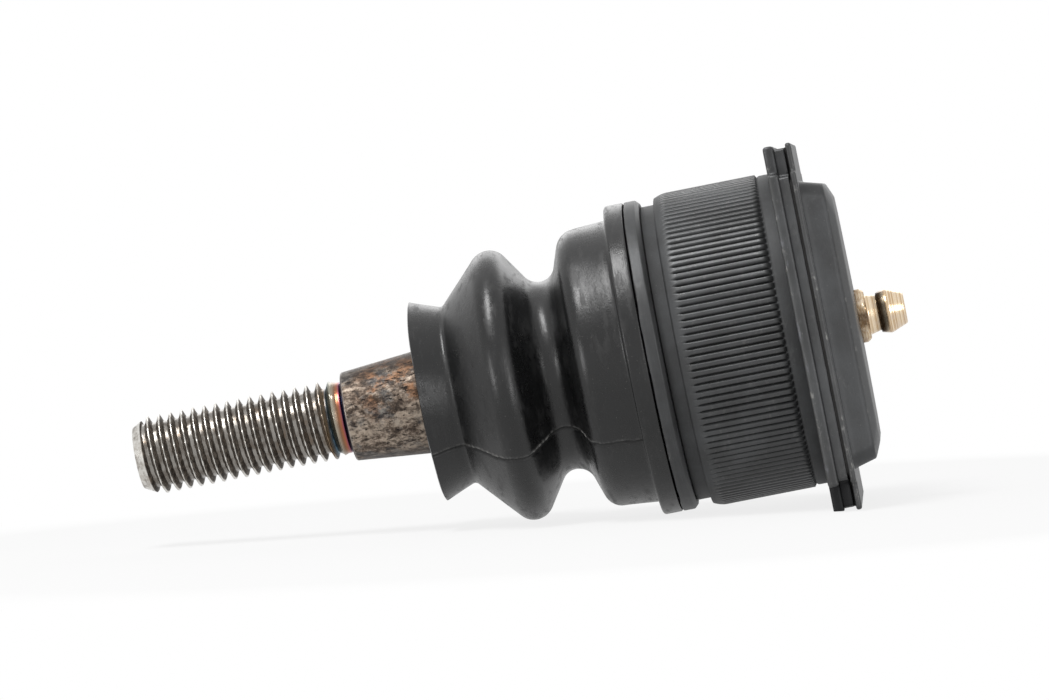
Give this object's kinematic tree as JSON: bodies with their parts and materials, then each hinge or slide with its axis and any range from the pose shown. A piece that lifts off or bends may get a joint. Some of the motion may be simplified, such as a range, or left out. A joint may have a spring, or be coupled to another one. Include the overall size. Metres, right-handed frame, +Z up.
{
  "type": "suspension ball joint",
  "caption": "Ball joint with a tapered threaded stud in a bellows boot, a knurled round press-in body, a square flange with a domed cover, and a grease nipple.",
  "frame": {"origin": "centre of the ball, on the axis of the knurled press seat", "axes": "-X along the stud to its threaded end, +X to the cover and the grease nipple, +Z up as the joint lies on its side"},
  "size_m": [0.1181, 0.0548, 0.0548],
  "materials": {
    "stud_steel": "turned and ground steel with heat tints on the taper",
    "housing_steel": "satin black phosphate on forged steel",
    "cover_steel": "satin black paint on pressed steel",
    "ring_steel": "satin black steel ring",
    "boot_rubber": "matt black chloroprene rubber",
    "bearing_polymer": "moulded acetal",
    "seat_steel": "hardened and ground steel",
    "spring_steel": "tempered spring steel",
    "gasket_fibre": "pressed fibre sheet",
    "zinc_plate": "yellow zinc plate on turned steel"
  },
  "bodies": {
    "body": {"housing": "housing_steel", "upper_bearing": "bearing_polymer", "preload_spring": "spring_steel", "cover_plate": "cover_steel", "cover_gasket": "gasket_fibre", "grease_nipple": "zinc_plate", "nipple_check_spring": "spring_steel", "nipple_spring_stop": "zinc_plate", "boot_mounting_ring": "ring_steel", "dust_boot": "boot_rubber"},
    "seat": {"pressure_seat": "seat_steel"},
    "boot_end": {"boot_neck_ring": "bearing_polymer"},
    "stud": {"ball_stud": "stud_steel"},
    "grease_valve": {"nipple_check_ball": "seat_steel"}
  },
  "joints": [
    {"name": "swing_direction", "type": "hinge", "parent": "body", "child": "seat", "pos_m": [0, 0, 0], "axis": [1, 0, 0], "continuous": true},
    {"name": "stud_tilt", "type": "hinge", "parent": "seat", "child": "boot_end", "pos_m": [0, 0, 0], "axis": [0, 0, 1], "range_deg": [-25, 25], "deforming": ["dust_boot"]},
    {"name": "stud_spin", "type": "hinge", "parent": "boot_end", "child": "stud", "pos_m": [0, 0, 0], "axis": [1, 0, 0], "continuous": true},
    {"name": "check_ball_lift", "type": "slide", "parent": "body", "child": "grease_valve", "axis": [-1, 0, 0], "range_m": [0, 0.0008], "stiffness_N_per_m": 300, "deforming": ["nipple_check_spring"]}
  ]
}
